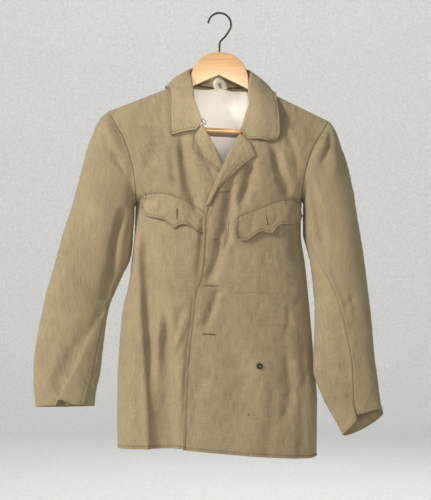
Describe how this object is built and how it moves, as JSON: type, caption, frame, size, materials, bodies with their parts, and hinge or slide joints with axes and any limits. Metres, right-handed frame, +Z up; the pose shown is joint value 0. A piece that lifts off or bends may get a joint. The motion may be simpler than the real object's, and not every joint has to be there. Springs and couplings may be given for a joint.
{
  "type": "military uniform jacket on a wooden hanger",
  "caption": "Collared khaki uniform jacket with long sleeves and scalloped chest pocket flaps, open at the neck on a wooden hanger with a wire hook.",
  "frame": {"origin": "inside top of the hanger's wire hook, where the peg bears", "axes": "+Z up, +X to the viewer's right as the jacket hangs, the front of the jacket toward -Y"},
  "size_m": [0.6763, 0.1496, 0.8665],
  "materials": {
    "khaki_cotton": "matte twill with slubs",
    "ivory_lining": "matte plain weave",
    "cream_tape": "matte woven tape",
    "hanger_wood": "varnished, honey coloured",
    "dark_wire": "dark, dull",
    "blacked_metal": "worn black"
  },
  "bodies": {
    "root": {"front_left": "khaki_cotton", "front_right": "khaki_cotton", "back": "khaki_cotton", "sleeve_left_top": "khaki_cotton", "sleeve_left_under": "khaki_cotton", "sleeve_right_top": "khaki_cotton", "sleeve_right_under": "khaki_cotton", "collar": "khaki_cotton", "lapel_left": "khaki_cotton", "lapel_right": "khaki_cotton", "pocket_flap_right": "khaki_cotton", "pocket_flap_left": "khaki_cotton", "back_lining": "ivory_lining", "hanger_loop": "cream_tape", "neck_eye": "dark_wire", "front_ring_button": "blacked_metal", "hanger": "hanger_wood", "trouser_bar": "hanger_wood", "hanger_hook": "dark_wire"}
  },
  "joints": []
}
